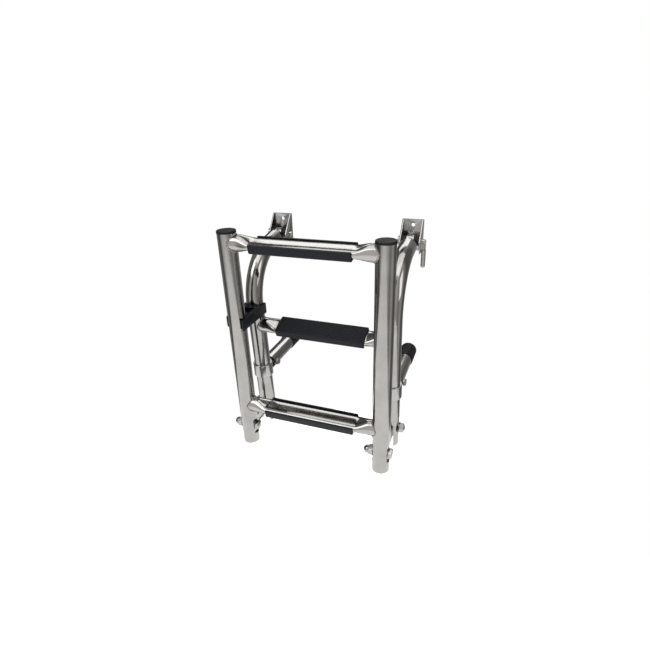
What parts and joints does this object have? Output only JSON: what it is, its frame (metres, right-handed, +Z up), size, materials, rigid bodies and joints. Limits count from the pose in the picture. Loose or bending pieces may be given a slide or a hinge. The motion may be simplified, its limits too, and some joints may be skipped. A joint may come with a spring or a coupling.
{
  "type": "folding boat boarding ladder",
  "caption": "Stainless folding transom boarding ladder: bent-tube upper frame with fold-down lower section, tread pads, pivoting stand-offs and pinned brackets.",
  "frame": {"origin": "centre of the four transom bolt holes, on the back faces of the two brackets", "axes": "+Y into the transom, +Z up, +X to the right as seen from the water; lower section folded up against the upper one"},
  "size_m": [0.328, 0.2586, 0.4262],
  "materials": {
    "polished_steel": "mirror-polished stainless tube",
    "cast_steel": "polished stainless plate and castings",
    "fastener_steel": "stainless fasteners",
    "black_plastic": "moulded black plastic, fine satin grain",
    "rubber": "moulded black rubber",
    "nylon": "black acetal",
    "bronze": "plain bronze bush"
  },
  "bodies": {
    "brackets": {"bracket_left": "cast_steel", "bracket_right": "cast_steel", "release_pin_left": "cast_steel", "release_pin_right": "cast_steel", "nose_rivets": "cast_steel"},
    "nose_left": {"nose_left": "cast_steel"},
    "nose_right": {"nose_right": "cast_steel"},
    "upper_frame": {"rear_tube_left": "polished_steel", "rear_tube_right": "polished_steel", "eye_end_left": "cast_steel", "eye_end_right": "cast_steel", "eye_bushes": "nylon", "middle_rung": "polished_steel", "middle_tread": "black_plastic", "standoff_clamp_left": "cast_steel", "standoff_clamp_right": "cast_steel", "standoff_bolts": "fastener_steel", "standoff_nuts": "fastener_steel", "upper_pivot_bolts": "fastener_steel", "upper_pivot_washers": "fastener_steel", "upper_pivot_nuts": "fastener_steel", "tube_clip": "black_plastic"},
    "hinge_links": {"hinge_link_left": "cast_steel", "hinge_link_right": "cast_steel", "link_bushes": "bronze"},
    "lower_frame": {"front_tube_left": "polished_steel", "front_tube_right": "polished_steel", "tube_caps": "black_plastic", "top_rung": "polished_steel", "bottom_rung": "polished_steel", "top_tread": "black_plastic", "bottom_tread": "black_plastic", "lower_pivot_bolts": "fastener_steel", "lower_pivot_washers": "fastener_steel", "lower_acorn_nuts": "fastener_steel"},
    "standoff_left": {"standoff_tube_left": "polished_steel", "standoff_foot_left": "rubber"},
    "standoff_right": {"standoff_tube_right": "polished_steel", "standoff_foot_right": "rubber"}
  },
  "joints": [
    {"name": "ladder_swing", "type": "hinge", "parent": "brackets", "child": "upper_frame", "pos_m": [0, -0.0215, -0.006], "axis": [-1, 0, 0], "range_deg": [0, 100]},
    {"name": "link_swing", "type": "hinge", "parent": "upper_frame", "child": "hinge_links", "pos_m": [0, -0.13804, -0.3425], "axis": [1, 0, 0], "range_deg": [0, 92.8]},
    {"name": "frame_fold", "type": "hinge", "parent": "hinge_links", "child": "lower_frame", "pos_m": [0, -0.216, -0.3425], "axis": [1, 0, 0], "range_deg": [0, 90]},
    {"name": "standoff_tilt_left", "type": "hinge", "parent": "upper_frame", "child": "standoff_left", "pos_m": [-0.1335, -0.111, -0.256], "axis": [1, 0, 0], "range_deg": [-20, 20]},
    {"name": "standoff_tilt_right", "type": "hinge", "parent": "upper_frame", "child": "standoff_right", "pos_m": [0.1335, -0.111, -0.256], "axis": [1, 0, 0], "range_deg": [-20, 20]},
    {"name": "nose_drop_left", "type": "hinge", "parent": "brackets", "child": "nose_left", "pos_m": [-0.1087, -0.0215, -0.006], "axis": [0, -1, 0], "range_deg": [0, 90]},
    {"name": "nose_drop_right", "type": "hinge", "parent": "brackets", "child": "nose_right", "pos_m": [0.1583, -0.0215, -0.006], "axis": [0, -1, 0], "range_deg": [0, 90]}
  ]
}
